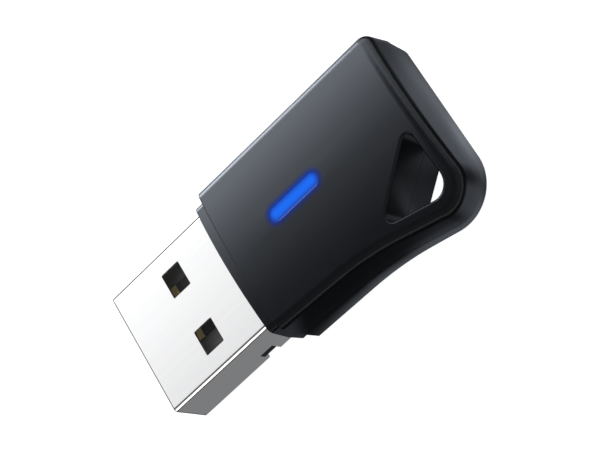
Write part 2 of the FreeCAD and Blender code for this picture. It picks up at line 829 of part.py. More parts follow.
def make_contact(label, y, start):
    """A flat spring strip with a sloped tip, lying in its groove and ending on its land."""
    owner = new_body(label)
    profile = new_sketch(owner, "profile", "XZ_Plane", -y)
    add_outline(profile, [
        (start, -contact_thickness),
        (contact_end, -contact_thickness),
        (contact_end, 0),
        (start + contact_ramp, 0),
        (start, -contact_thickness / 2),
    ])
    pad(profile, contact_width, both_ways=True)
    return owner


# Circuit board and what it carries

def make_circuit_board():
    owner = new_body("circuit_board")
    plan = new_sketch(owner, "plan", offset=board_bottom)
    board_start = plug_reach - board_overlap
    neck_half = plug_width / 2 - plug_sheet - board_gap
    neck_end = plug_reach + board_gap * 2
    left = cavity_left - board_gap
    right = cavity_right + board_gap
    cut = hole_wall + board_gap
    add_outline(plan, [
        (board_start, -neck_half),
        (neck_end, -neck_half),
        (neck_end, right),
        (beside_hole_x(cut, right), right),
        (board_end, beside_hole(cut, board_end)),
        (board_end, left),
        (neck_end, left),
        (neck_end, neck_half),
        (board_start, neck_half),
    ])
    pad(plan, board_thickness)
    holes = new_sketch(owner, "holes", offset=board_top + spare)
    pin_circles(holes, pin_diameter + fit_gap * 2)
    pocket(holes, board_thickness + spare * 2)
    return owner


def make_antenna_trace():
    """Printed copper that runs to and fro between two lines near the rear edge."""
    owner = new_body("antenna_trace")
    chip_edge = radio_x + radio_width / 2
    front = chip_edge + trace_clearance
    rear = board_end - trace_margin
    half = trace_width / 2
    low = beside_hole(hole_wall + board_gap * 2, board_end) + half
    pitch = (cavity_left - trace_from_side - low) / (trace_turns - 1)
    path = []
    headings = []
    for turn in range(trace_turns):
        y = low + pitch * turn
        ends = [(front, y), (rear, y)]
        path += ends if turn % 2 == 0 else ends[::-1]
        headings += [(1 - turn % 2 * 2, 0), (0, 1)]
    path[0] = (chip_edge + trace_feed, low)
    sides = []
    for side in (1, -1):
        line = []
        for index, (x, y) in enumerate(path):
            meeting = headings[max(index - 1, 0):min(index + 1, len(path) - 1)]
            across = -side * sum(heading[1] for heading in meeting)
            along = side * sum(heading[0] for heading in meeting)
            line.append((x + half * across, y + half * along))
        sides.append(line)
    drawing = new_sketch(owner, "path", offset=board_top)
    add_outline(drawing, sides[0] + sides[1][::-1])
    pad(drawing, land_thickness)
    return owner


def seat_on_board(owner, x, y, below=False):
    """Puts a piece on the board's top face, or upside down on its lower face."""
    if below:
        owner.Placement.Rotation = FreeCAD.Rotation(V(1, 0, 0), 180)
    bind(owner, "Placement.Base.x", x)
    bind(owner, "Placement.Base.y", y)
    bind(owner, "Placement.Base.z", board_bottom if below else board_top)


def add_block(owner, name, length, width, height, base=0.0):
    """A block about the piece's own centre line."""
    drawing = new_sketch(owner, name, offset=base)
    add_rectangle(drawing, -length / 2, length / 2, -width / 2, width / 2)
    return pad(drawing, height)


def bevel_top(owner, length):
    top = highest_face(owner.Tip.Shape).Edges
    dress(owner, "Chamfer", lambda edge: is_one_of(edge, top), length)


def add_leads(owner, side, count, pitch, package_width, span):
    """A row of bent leads on one side of a package."""
    tip = span / 2 * side
    knee = tip - lead_foot * side
    outer = knee + lead_thickness * side
    inner = (package_width / 2 - lead_foot) * side
    first = pitch * (count - 1) / -2
    profile = new_sketch(owner, "leads" if side > 0 else "far_leads", "XZ_Plane", -first)
    add_outline(profile, [
        (inner, lead_rise),
        (knee, lead_rise),
        (knee, 0),
        (tip, 0),
        (tip, lead_thickness),
        (outer, lead_thickness),
        (outer, lead_rise + lead_thickness),
        (inner, lead_rise + lead_thickness),
    ])
    lead = pad(profile, lead_width, both_ways=True)
    row = owner.newObject("PartDesign::LinearPattern", f"{profile.Label}_row")
    row.Originals = [lead]
    axis = [item for item in owner.Origin.OriginFeatures if item.Role == "Y_Axis"][0]
    row.Direction = (axis, [""])
    row.Occurrences = count
    bind(row, "Length", pitch * (count - 1))
    owner.Tip = row
    doc.recompute()


def make_leaded_chip(label, size_across, length, height, span, pitch, near, far):
    """A moulded package that stands on bent leads along two sides."""
    owner = new_body(label)
    add_block(owner, "package", size_across, length, height - lead_stand, lead_stand)
    bevel_top(owner, package_bevel)
    add_leads(owner, 1, near, pitch, size_across, span)
    add_leads(owner, -1, far, pitch * (near - 1) / (far - 1), size_across, span)
    return owner


def make_radio_chip():
    owner = new_body("radio_chip")
    add_block(owner, "package", radio_width, radio_width, radio_height)
    bevel_top(owner, package_bevel)
    mark = new_sketch(owner, "first_pin_mark", offset=radio_height)
    inset = radio_width / 2 - mark_inset
    add_circle(mark, -inset, -inset, mark_diameter)
    pocket(mark, package_bevel)
    seat_on_board(owner, radio_x, radio_y)
    return owner


def make_memory_chip():
    owner = make_leaded_chip("memory_chip", memory_width, memory_length, memory_height,
                             memory_span, memory_pitch, 4, 4)
    seat_on_board(owner, plug_reach + memory_setback, memory_y, below=True)
    return owner


def make_voltage_regulator():
    owner = make_leaded_chip("voltage_regulator", regulator_width, regulator_length,
                             regulator_height, regulator_span, regulator_pitch, 3, 2)
    seat_on_board(owner, plug_reach + regulator_setback, cavity_left - regulator_from_side)
    return owner


def make_surge_protector():
    owner = make_leaded_chip("surge_protector", protector_width, protector_length,
                             protector_height, protector_span, protector_pitch, 3, 3)
    seat_on_board(owner, plug_reach + protector_setback, cavity_right + protector_from_side)
    return owner


def make_crystal():
    """A ceramic tray with a narrower metal lid."""
    owner = new_body("crystal")
    add_block(owner, "tray", crystal_length, crystal_width, crystal_tray)
    border = crystal_border * 2
    add_block(owner, "lid", crystal_length - border, crystal_width - border, crystal_lid,
              crystal_tray)
    below_radio = radio_y - radio_width / 2 - crystal_gap
    seat_on_board(owner, plug_reach + crystal_setback, below_radio - crystal_width / 2)
    return owner


def make_status_led():
    """A lamp with a clear block on a wider base."""
    owner = new_body("status_led")
    add_block(owner, "base", lamp_length, lamp_width, lamp_base)
    add_block(owner, "lens", lamp_length - lamp_step * 2, lamp_width, lamp_height - lamp_base,
              lamp_base)
    seat_on_board(owner, light_x, light_y)
    return owner


def make_inductor():
    owner = new_body("inductor")
    add_block(owner, "core", inductor_length, inductor_width, inductor_height)
    dress(owner, "Chamfer", lambda edge: edge.BoundBox.ZLength > TINY, inductor_bevel)
    seat_on_board(owner, plug_reach + inductor_setback, cavity_left - inductor_from_side)
    return owner


def make_group(label, members):
    """Several separate small pieces that share one node."""
    group = doc.addObject("Part::Compound", label)
    group.Label = label
    group.Links = members
    doc.recompute()
    return group


def make_box(name, x, y, z, length, width, height):
    """A box about the point x, y in plan, standing on z."""
    box = doc.addObject("Part::Box", name)
    bind(box, "Length", length)
    bind(box, "Width", width)
    bind(box, "Height", height)
    bind(box, "Placement.Base.x", x - length / 2)
    bind(box, "Placement.Base.y", y - width / 2)
    bind(box, "Placement.Base.z", z)
    return box


def make_contact_pads():
    length = land_lead + land_margin
    middle = contact_end - land_lead + length / 2
    return make_group("contact_pads", [
        make_box(f"{name}_land", middle, y, board_top, length, land_width, land_thickness)
        for name, (y, start) in contact_places.items()
    ])


def make_small_chips(label, places, height):
    """A set of like chips. A place is the setback from the plug shell's end, and the distance
    from the cavity's left side."""
    chips = []
    for number, (setback, from_side) in enumerate(places, 1):
        x = plug_reach + size(f"{label}_{number}_setback", setback)
        y = cavity_left - size(f"{label}_{number}_from_side", from_side)
        chips.append(make_box(f"{label}_{number}", x, y, board_top, chip_length, chip_width,
                              height))
    return make_group(label, chips)


def make_solder(name, x, y, z, turn, width, reach, height):
    """A fillet of solder that falls away from the upright face at x, y."""
    wedge = doc.addObject("Part::Wedge", name)
    for path, length in (("Xmin", -width / 2), ("Xmax", width / 2), ("X2min", -width / 2),
                         ("X2max", width / 2), ("Ymin", 0), ("Ymax", reach), ("Zmin", 0),
                         ("Zmax", height), ("Z2min", 0), ("Z2max", 0)):
        bind(wedge, path, length)
    wedge.Placement.Rotation = FreeCAD.Rotation(V(0, 0, 1), turn)
    bind(wedge, "Placement.Base.x", x)
    bind(wedge, "Placement.Base.y", y)
    bind(wedge, "Placement.Base.z", z)
    return wedge


def make_solder_joints():
    joints = [
        make_solder(f"{name}_solder", contact_end, y, -contact_thickness, -90, contact_width,
                    solder_length, solder_height)
        for name, (y, start) in contact_places.items()
    ]
    tab_face = plug_width / 2 - plug_sheet
    middle = plug_reach + tab_length / 2 + board_gap
    for name, side, turn in (("left", 1, 180), ("right", -1, 0)):
        joints.append(make_solder(f"{name}_tab_solder", middle, tab_face * side, board_top, turn,
                                  tab_solder_width, solder_length, tab_solder_height))
    return make_group("solder_joints", joints)


capacitor_places = [
    (2.6, 0.75), (3.9, 0.75), (7.8, 0.75), (7.8, 1.55), (8.2, 7.45), (7.9, 8.1),
]
resistor_places = [(1.8, 6.75), (1.8, 5.95), (6.0, 2.39), (8.0, 2.39)]


def make_all():
    pieces = [make_top_cover(), make_bottom_cover(), make_light_guide()]
    pieces += [make_plug_shell(), make_plug_insulator()]
    pieces += [make_contact(name, y, start) for name, (y, start) in contact_places.items()]
    pieces += [make_circuit_board(), make_contact_pads(), make_antenna_trace()]
    pieces += [make_radio_chip(), make_memory_chip(), make_voltage_regulator()]
    pieces += [make_surge_protector(), make_crystal(), make_status_led(), make_inductor()]
    pieces.append(make_small_chips("capacitors", capacitor_places, capacitor_height))
    pieces.append(make_small_chips("resistors", resistor_places, resistor_height))
    pieces.append(make_solder_joints())
    return pieces


def export(pieces):
    """Writes each piece to its own file, once everything has come out sound."""
    doc.recompute()
    for item in doc.Objects:
        if "Invalid" in item.State or "Error" in item.State:
            raise RuntimeError(f"{item.Label} did not compute: {item.State}")
    os.makedirs("parts", exist_ok=True)
    for piece in pieces:
        if piece.Shape.isNull() or not piece.Shape.isValid():
            raise RuntimeError(f"{piece.Label} has no sound shape")
        piece.Shape.exportStep(os.path.join("parts", f"{piece.Label}.step"))


export(make_all())
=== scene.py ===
import math

import bpy
from mathutils import Matrix, Vector


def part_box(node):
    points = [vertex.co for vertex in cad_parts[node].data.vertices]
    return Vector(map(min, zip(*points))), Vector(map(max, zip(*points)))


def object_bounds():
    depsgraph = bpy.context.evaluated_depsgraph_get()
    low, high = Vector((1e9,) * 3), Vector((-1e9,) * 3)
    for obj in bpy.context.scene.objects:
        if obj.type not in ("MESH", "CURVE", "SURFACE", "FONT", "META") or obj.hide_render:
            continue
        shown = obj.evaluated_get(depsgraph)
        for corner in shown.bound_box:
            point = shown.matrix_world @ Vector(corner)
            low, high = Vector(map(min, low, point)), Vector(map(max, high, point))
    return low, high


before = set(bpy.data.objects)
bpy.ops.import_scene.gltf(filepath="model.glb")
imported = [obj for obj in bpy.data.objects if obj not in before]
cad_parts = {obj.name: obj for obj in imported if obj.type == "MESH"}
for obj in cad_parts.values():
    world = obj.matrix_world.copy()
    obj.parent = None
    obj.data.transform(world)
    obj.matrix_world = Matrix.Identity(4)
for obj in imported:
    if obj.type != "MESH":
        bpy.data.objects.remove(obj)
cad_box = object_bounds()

# The looks of the plug-in wireless adapter. The CAD pieces keep their shapes and get their
# finishes here, and the scene adds a floor, a round studio wall, a card that only reflections
# see, a sky, lamps and the camera. Lengths are in metres, and bearings and tilts in degrees.

MM = 0.001

# Camera, fitted to the plug in the photograph
IMAGE_WIDTH = 600
FOCAL_PIXELS = 2132
SENSOR_MM = 36.0
CAMERA_AT = Vector((78.74, -78.60, 141.08)) * MM
CAMERA_LOOKS_AT = Vector((17.31, -0.02, 0.0)) * MM
CAMERA_UP = Vector((0.641, 0.755, 0.141))
CLIP_NEAR = 0.01
CLIP_FAR = 10

# Floor and wall: how bright they show, and their own colour under the lamps
FLOOR_HALF = 1.5
FLOOR_DROP = 0.02 * MM
FLOOR_GLOW = 0.96
FLOOR_COLOUR = 0.3
WALL_RADIUS = 1.2
WALL_HEIGHT = 0.16
WALL_STEPS = 96
WALL_GLOW = 1.0
WALL_COLOUR = 0.0

# The sky is a dim dome with four soft boxes round its lower part, as the housing's reflections
# in the photograph show them, and its brightness stays under a ceiling. A box has a bearing, a
# brightness and a narrowness, and fades out between two heights, each given as the sine of its
# angle. The key rises between two heights from its low share to the whole of its brightness,
# so that it doesn't bleach the top when that is seen from the far side.
DOME = 0.11
SKY_CEILING = 3.2
SOFT_BOXES = {
    "key": {"bearing": 118, "brightness": 3.3, "narrowness": 6.7, "fades": (0.49, 1.0),
            "rises": (0.36, 0.60), "low_share": 0.2},
    "rear": {"bearing": 72, "brightness": 2.4, "narrowness": 5.0, "fades": (0.60, 0.80)},
    "right": {"bearing": -35, "brightness": 0.16, "narrowness": 3.0, "fades": (0.70, 0.97)},
    "front": {"bearing": -155, "brightness": 0.08, "narrowness": 2.0, "fades": (0.65, 0.88)},
}

# The sky, the card and the lamps for single pieces are a little blue, and the shell's tint
# makes up for it.
STUDIO_TINT = (0.92, 1.0, 1.13)

# The grey card that shows only in reflections: dim far off, with brighter spots close to the
# housing and a level patch beside the plug. A spot has a middle and two radii in mm, and a
# brightness. The patch fades out between two places in x and in y.
CARD_HALF = 0.3
CARD_RISE = 0.01 * MM
CARD_FAR = 0.035
CARD_SPOTS = [
    ((33.7, -0.5), (2.4, 7.4), 0.44),
    ((32.8, -12.0), (4.4, 3.55), 0.58),
    ((20.3, -7.1), (8.4, 0.7), 0.3),
    ((26.2, -7.0), (3.8, 3.9), 0.19),
    ((37.0, 9.0), (6.0, 7.0), 0.16),
    ((21.0, 11.5), (10.0, 4.0), 1.0),
    ((16.0, 30.0), (14.0, 14.0), 2.0),
    ((31.0, -3.0), (2.2, 3.0), 0.25),
]
CARD_PLUG = 0.2
CARD_PLUG_ENDS = (9.5 * MM, 11.5 * MM)
CARD_PLUG_SIDE = (-14 * MM, -11 * MM)

# The overhead lamp sets the level of the light and stays out of reflections
OVERHEAD_FROM = Vector((0.1, 0.1, 1.0)).normalized()
OVERHEAD_DISTANCE = 1.0
OVERHEAD_SPREAD = 60
LEVEL_LIGHT = 1.45

# Lamps that each shine on one piece alone, with their width and height at LAMP_DISTANCE
LAMP_DISTANCE = 0.3
LINKED_LAMPS = {
    "plug_strip": {"bearing": -113, "tilt": 24, "width": 0.45, "height": 0.3, "radiance": 1.6,
                   "piece": "plug_shell"},
    "edge_strip": {"bearing": 112, "tilt": 15, "width": 0.11, "height": 0.14, "radiance": 9.0,
                   "piece": "top_cover"},
}

# The status light, as laid out in the CAD piece
light_low, light_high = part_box("light_guide")
LIGHT_FLANGE = 0.4 * MM
LIGHT_MIDDLE = (light_low + light_high) / 2
LIGHT_HALF_WIDTH = (light_high.y - light_low.y) / 2 - LIGHT_FLANGE
LIGHT_HALF_LENGTH = (light_high.x - light_low.x) / 2 - LIGHT_FLANGE

# Its colours from the middle line to the rim, and those of its glow on the roof, which reaches
# this far from the rim. The roof's sheen is weak in the glow and full at a share of its reach.
LIGHT_COLOURS = [
    (0.0, (0.004, 0.142, 0.88)),
    (0.3, (0.005, 0.134, 0.85)),
    (0.5, (0.006, 0.118, 0.75)),
    (0.66, (0.006, 0.096, 0.64)),
    (0.82, (0.007, 0.072, 0.50)),
    (1.0, (0.008, 0.050, 0.36)),
]
GLOW_COLOURS = [
    (0.0, (0.001, 0.040, 0.36)),
    (0.25, (0.001, 0.017, 0.165)),
    (0.5, (0.0, 0.005, 0.062)),
    (0.8, (0.0, 0.001, 0.014)),
    (1.0, (0.0, 0.0, 0.0)),
]
GLOW_REACH = 0.72 * MM
SHEEN = (0.1, 0.44)
SHEEN_FULL_AT = 0.9

# The contacts' gold plate ends between these places, and a dull dark grey follows further in
PLATE_ENDS = (4.7 * MM, 4.75 * MM)

# A slot's dark opening, painted black as shade on each side of the plug, above the notch that is
# cut through the sheet
SLOT_SHADE_ENDS = (7.8 * MM, 9.2 * MM)
SLOT_SHADE_TOP = -0.72 * MM
SLOT_SHADE_FACE = 5.6 * MM

# Painted shade on the sheet's cut front rim and its left bend, which are painted darker than its
# flat top, standing in for dark reflections there. The rim ends between two places in x, and the
# bend starts between two in y, above a height.
RIM_ENDS = (0.07 * MM, 0.1 * MM)
BEND_STARTS = (5.72 * MM, 5.75 * MM)
BEND_ABOVE = 1.95 * MM
PAINTED_RIM_SHADE = 0.1

# The faint lines of rolled sheet: their shade, and how far they are drawn out along x
LINE_SHADE = 0.98
LINE_STRETCH = (0.05, 6, 6)

# Painted shade: the line where the collar meets the body shines a little less, as the step's
# shade, between two distances from it
BODY_FRONT = 12.22 * MM
COLLAR_SHADE_SHARE = 0.5
COLLAR_SHADE_FADES = (0.04 * MM, 0.1 * MM)

# The walls of the two shells shade into each other within this reach of their seam. The ease
# is how far a wall's normal leans above it and below it: first on the plain walls, and then on
# the ear, which begins between two places in y.
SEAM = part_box("top_cover")[0].z
SEAM_REACH = 1.3 * MM
EASE_ABOVE = (-0.06, -0.09)
EASE_BELOW = (0.06, 0.22)
EAR_FROM = (-6 * MM, -8.3 * MM)

# The lanyard hole's own walls keep out of that. Its place is in x and in y + HOLE_SLANT * x.
HOLE_SLANT = 0.2
HOLE_MIDDLE = (27.8 * MM, 1.0 * MM)
HOLE_REACH = (3.0 * MM, 3.1 * MM)

# The housing's edges are softened in its shading by this much
EDGE_SOFTENING = 0.15 * MM
SOFTENING_SAMPLES = 6

# Colours that more than one finish uses, and where a noise blends from one colour to another
BLACK = (0.0, 0.0, 0.0)
BOARD_GOLD = (0.78, 0.56, 0.22)
NOISE_ENDS = (0.3, 0.7)


def opaque(colour):
    return (*colour, 1.0)


def shaded(colour, share):
    return tuple(share * part for part in colour)


def direction_to(bearing, tilt=0):
    """The unit vector that points to a bearing, and up by a tilt."""
    across = math.cos(math.radians(tilt))
    return Vector((math.cos(math.radians(bearing)) * across,
                   math.sin(math.radians(bearing)) * across,
                   math.sin(math.radians(tilt))))


# Building blocks for materials

class Graph:
    """A node tree, with short calls for the nodes that are used often."""

    def __init__(self, owner, output):
        owner.use_nodes = True
        self.owner = owner
        self.nodes = owner.node_tree.nodes
        self.links = owner.node_tree.links
        self.nodes.clear()
        self.output = self.add(output)

    def add(self, kind, inputs=None, **settings):
        """Adds a node with its settings, and feeds the inputs, given by name or by number."""
        node = self.nodes.new(kind)
        for key, value in settings.items():
            setattr(node, key, value)
        for key, value in (inputs or {}).items():
            self.feed(node.inputs[key], value)
        return node

    def feed(self, socket, value):
        """Links a socket to another, or gives it a plain value."""
        if isinstance(value, bpy.types.NodeSocket):
            self.links.new(value, socket)
        else:
            socket.default_value = value

    def show(self, shader):
        self.feed(self.output.inputs["Surface"], shader)

    def surface(self, values):
        """The principled shader, with plain values on its own sockets and links for the rest."""
        self.show(self.add("ShaderNodeBsdfPrincipled", values).outputs["BSDF"])

    def math(self, operation, *values):
        inputs = dict(enumerate(values))
        return self.add("ShaderNodeMath", inputs, operation=operation).outputs["Value"]

    def plus(self, first, second):
        return self.math("ADD", first, second)

    def minus(self, first, second):
        return self.math("SUBTRACT", first, second)

    def times(self, first, *others):
        product = first
        for other in others:
            product = self.math("MULTIPLY", product, other)
        return product

    def vector_math(self, operation, *values):
        """Gives a vector, or a plain value for a dot product."""
        inputs = dict(enumerate(values))
        outputs = self.add("ShaderNodeVectorMath", inputs, operation=operation).outputs
        return outputs["Value"] if operation == "DOT_PRODUCT" else outputs["Vector"]

    def place(self):
        """Object coordinates, in metres."""
        return self.add("ShaderNodeTexCoord").outputs["Object"]

    def split(self, vector):
        return self.add("ShaderNodeSeparateXYZ", {"Vector": vector}).outputs

    def noise(self, scale, detail=4.0, stretch=(1, 1, 1)):
        mapping = self.add("ShaderNodeMapping", {"Vector": self.place(), "Scale": stretch})
        texture = self.add("ShaderNodeTexNoise", {
            "Vector": mapping.outputs["Vector"],
            "Scale": scale,
            "Detail": detail,
        })
        return texture.outputs["Fac"]

    def ramp(self, source, stops):
        """Blends between colours, given as (position, colour)."""
        ramp = self.add("ShaderNodeValToRGB", {"Fac": source})
        elements = ramp.color_ramp.elements
        while len(elements) < len(stops):
            elements.new(0.5)
        for element, (position, colour) in zip(elements, stops):
            element.position = position
            element.color = opaque(colour)
        return ramp.outputs["Color"]

    def two_tone(self, source, colours, ends=NOISE_ENDS):
        """Blends from a first colour to a second between two values of the source."""
        return self.ramp(source, list(zip(ends, colours)))

    def spread(self, source, ends, results, shape="LINEAR"):
        """Maps a value from one range to another, and holds it at the ends."""
        mapped = self.add("ShaderNodeMapRange", {
            "Value": source,
            "From Min": ends[0],
            "From Max": ends[1],
            "To Min": results[0],
            "To Max": results[1],
        }, interpolation_type=shape)
        return mapped.outputs["Result"]

    def blend(self, share, first, second):
        mixed = self.add("ShaderNodeMix", {"Factor": share, "A": first, "B": second},
                         data_type="RGBA")
        return mixed.outputs["Result"]

    def softened(self, radius):
        """The surface's normal, as if its edges were rounded by this radius."""
        bevel = self.add("ShaderNodeBevel", {"Radius": radius}, samples=SOFTENING_SAMPLES)
        return bevel.outputs["Normal"]

    def bump(self, **inputs):
        """A fine relief. The inputs go by the names of the node's own."""
        return self.add("ShaderNodeBump", inputs).outputs["Normal"]


def material_graph(name):
    return Graph(bpy.data.materials.new(name), "ShaderNodeOutputMaterial")


# Places on the object, as masks and distances

def painted_slot_shade(graph):
    """1 on the sides of the sheet and the insulator where the slot's shade is painted black, and
    0 elsewhere.
    """
    x, y, z = graph.split(graph.place())
    on_side = graph.math("GREATER_THAN", graph.math("ABSOLUTE", y), SLOT_SHADE_FACE)
    past_front = graph.math("GREATER_THAN", x, SLOT_SHADE_ENDS[0])
    before_rear = graph.math("LESS_THAN", x, SLOT_SHADE_ENDS[1])
    below_top = graph.math("LESS_THAN", z, SLOT_SHADE_TOP)
    return graph.times(on_side, past_front, before_rear, below_top)


def on_painted_rim_shade(graph):
    """1 where shade is painted on the sheet's front rim and on the outer part of its left bend,
    and 0 elsewhere.
    """
    x, y, z = graph.split(graph.place())
    front = graph.spread(x, RIM_ENDS, (1, 0))
    high = graph.math("GREATER_THAN", z, BEND_ABOVE)
    outer = graph.spread(y, BEND_STARTS, (0, 1))
    return graph.math("MAXIMUM", front, graph.times(high, outer))


def from_light(graph):
    """How far a point lies from the line along the middle of the status light."""
    x, y = graph.split(graph.place())[:2]
    along = graph.math("ABSOLUTE", graph.minus(x, LIGHT_MIDDLE.x))
    past = graph.math("MAXIMUM", graph.minus(along, LIGHT_HALF_LENGTH - LIGHT_HALF_WIDTH), 0.0)
    across = graph.math("ABSOLUTE", graph.minus(y, LIGHT_MIDDLE.y))
    squares = graph.plus(graph.math("POWER", past, 2.0), graph.math("POWER", across, 2.0))
    return graph.math("SQRT", squares)


def collar_painted_shade(graph):
    """The share of the sheen that is left where shade is painted along the line where the collar
    meets the body.
    """
    x = graph.split(graph.place())["X"]
    distance = graph.math("ABSOLUTE", graph.minus(x, BODY_FRONT))
    return graph.spread(distance, COLLAR_SHADE_FADES, (COLLAR_SHADE_SHARE, 1))


def near_hole(graph, x, y):
    """1 round the lanyard hole, and 0 elsewhere."""
    slanted = graph.plus(y, graph.times(x, HOLE_SLANT))
    in_x = graph.math("COMPARE", x, HOLE_MIDDLE[0], HOLE_REACH[0])
    in_y = graph.math("COMPARE", slanted, HOLE_MIDDLE[1], HOLE_REACH[1])
    return graph.times(in_x, in_y)


def eased_at_seam(graph, normal):
    """Leans a wall's normal so that the two shells meet in a soft change of shade."""
    x, y, z = graph.split(graph.place())
    from_seam = graph.math("ABSOLUTE", graph.minus(z, SEAM))
    share = graph.spread(from_seam, (0, SEAM_REACH), (1, 0), "SMOOTHSTEP")
    share = graph.times(share, graph.minus(1.0, near_hole(graph, x, y)))
    above = graph.spread(y, EAR_FROM, EASE_ABOVE, "SMOOTHSTEP")
    below = graph.spread(y, EAR_FROM, EASE_BELOW, "SMOOTHSTEP")
    is_above = graph.math("GREATER_THAN", z, SEAM)
    ease = graph.plus(below, graph.times(graph.minus(above, below), is_above))
    lean = graph.add("ShaderNodeCombineXYZ", {"Z": graph.times(ease, share)}).outputs["Vector"]
    return graph.vector_math("NORMALIZE", graph.vector_math("ADD", normal, lean))


# Finishes

def housing_plastic(name):
    """Smooth black plastic with a trace of the mould's fine texture, and the light's own glow
    just round its slot."""
    graph = material_graph(name)
    colours = ((0.0028, 0.0029, 0.0034), (0.0034, 0.0035, 0.004))
    grain = graph.bump(Height=graph.noise(scale=6000, detail=2.0), Distance=0.002 * MM,
                       Strength=0.03, Normal=graph.softened(EDGE_SOFTENING))
    glow_ends = (LIGHT_HALF_WIDTH, LIGHT_HALF_WIDTH + GLOW_REACH)
    near = graph.spread(from_light(graph), glow_ends, (0, 1))
    sheen = graph.spread(near, (0, SHEEN_FULL_AT), SHEEN, "SMOOTHSTEP")
    graph.surface({
        "Base Color": graph.two_tone(graph.noise(scale=900, detail=3.0), colours, (0.35, 0.65)),
        "Roughness": graph.spread(graph.noise(scale=2500, detail=2.0), (0, 1), (0.21, 0.24)),
        "IOR": 1.5,
        "Normal": eased_at_seam(graph, grain),
        # Painted shade: less sheen along the line where the collar meets the body
        "Specular IOR Level": graph.times(sheen, collar_painted_shade(graph)),
        "Emission Color": graph.ramp(near, GLOW_COLOURS),
        "Emission Strength": 1.0,
    })
    return graph.owner


def lit_light(name):
    """Clear blue plastic lit from below: bright along the middle and darker at its rim."""
    graph = material_graph(name)
    share = graph.math("DIVIDE", from_light(graph), LIGHT_HALF_WIDTH)
    graph.surface({
        "Base Color": opaque((0.004, 0.01, 0.03)),
        "Roughness": 0.35,
        "Specular IOR Level": 0.05,
        "Emission Color": graph.ramp(share, LIGHT_COLOURS),
        "Emission Strength": 1.0,
    })
    return graph.owner


def plated_metal(name, tint, roughness, sheet=False):
    """Rolled and plated sheet, with faint lines along its length."""
    graph = material_graph(name)
    lines = graph.noise(scale=400, detail=3.0, stretch=LINE_STRETCH)
    colour = graph.two_tone(lines, (shaded(tint, LINE_SHADE), tint))
    if sheet:
        # Painted shade: black where a slot's dark opening would show
        colour = graph.blend(painted_slot_shade(graph), colour, opaque(BLACK))
        # Painted shade: the front rim and the left bend are painted darker
        colour = graph.blend(on_painted_rim_shade(graph), colour, opaque(shaded(tint, PAINTED_RIM_SHADE)))
    graph.surface({
        "Base Color": colour,
        "Metallic": 1.0,
        "Roughness": graph.spread(lines, (0, 1), roughness),
        "Normal": graph.bump(Height=lines, Distance=0.001 * MM, Strength=0.1),
    })
    return graph.owner


def plated_contact(name):
    """Gold plate on the end that mates, and dull dark metal further in, past the gold."""
    graph = material_graph(name)
    x = graph.split(graph.place())["X"]
    beyond_gold = graph.spread(x, PLATE_ENDS, (0, 1))
    gold = graph.two_tone(graph.noise(scale=700, detail=3.0),
                          ((0.78, 0.67, 0.34), (0.86, 0.75, 0.40)))
    graph.surface({
        "Base Color": graph.blend(beyond_gold, gold, opaque((0.13, 0.13, 0.135))),
        "Metallic": 0.6,
        "Roughness": 0.4,
    })
    return graph.owner


def moulded(name, colours, roughness=(0.4, 0.55), with_slot_shade=False):
    """A matt moulded or fired piece with a slightly uneven colour, from dark to light."""
    graph = material_graph(name)
    mottle = graph.noise(scale=1800)
    colour = graph.two_tone(mottle, colours)
    if with_slot_shade:
        # Painted shade: black where a slot's dark opening would show
        colour = graph.blend(painted_slot_shade(graph), colour, opaque(BLACK))
    graph.surface({
        "Base Color": colour,
        "Roughness": graph.spread(mottle, (0, 1), roughness),
        "Normal": graph.bump(Height=mottle, Distance=0.004 * MM, Strength=0.3),
    })
    return graph.owner


def finish(material, *names):
    """Gives CAD pieces their finish."""
    for name in names:
        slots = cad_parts[name].data.materials
        slots.clear()
        slots.append(material)


def finish_shell_and_plug():
    finish(housing_plastic("housing_black"), "top_cover", "bottom_cover")
    finish(lit_light("light_blue"), "light_guide")
    finish(plated_metal("plug_nickel", (0.91, 0.84, 0.75), roughness=(0.1, 0.16), sheet=True),
           "plug_shell")
    finish(moulded("insulator_grey", ((0.15, 0.15, 0.152), (0.17, 0.17, 0.172)), with_slot_shade=True),
           "plug_insulator")
    finish(plated_contact("contact_gold"),
           "contact_power", "contact_data_minus", "contact_data_plus", "contact_ground")


def finish_board():
    finish(moulded("board_green", ((0.01, 0.09, 0.04), (0.015, 0.12, 0.055))), "circuit_board")
    finish(moulded("chip_black", ((0.012, 0.012, 0.013), (0.02, 0.02, 0.021))),
           "radio_chip", "memory_chip", "voltage_regulator", "surge_protector", "resistors")
    finish(moulded("lamp_clear", ((0.6, 0.63, 0.66), (0.7, 0.73, 0.76)), roughness=(0.2, 0.3)),
           "status_led")
    finish(moulded("capacitor_tan", ((0.3, 0.19, 0.1), (0.38, 0.25, 0.14))), "capacitors")
    finish(moulded("ferrite_grey", ((0.03, 0.03, 0.032), (0.05, 0.05, 0.052))), "inductor")
    finish(plated_metal("pad_gold", BOARD_GOLD, roughness=(0.2, 0.3)), "contact_pads")
    finish(plated_metal("trace_gold", BOARD_GOLD, roughness=(0.25, 0.35)), "antenna_trace")
    finish(plated_metal("can_steel", (0.6, 0.6, 0.58), roughness=(0.25, 0.35)), "crystal")
    finish(plated_metal("solder_tin", (0.6, 0.6, 0.6), roughness=(0.25, 0.4)), "solder_joints")


# Studio

def add_object(name, data):
    made = bpy.data.objects.new(name, data)
    bpy.context.scene.collection.objects.link(made)
    return made


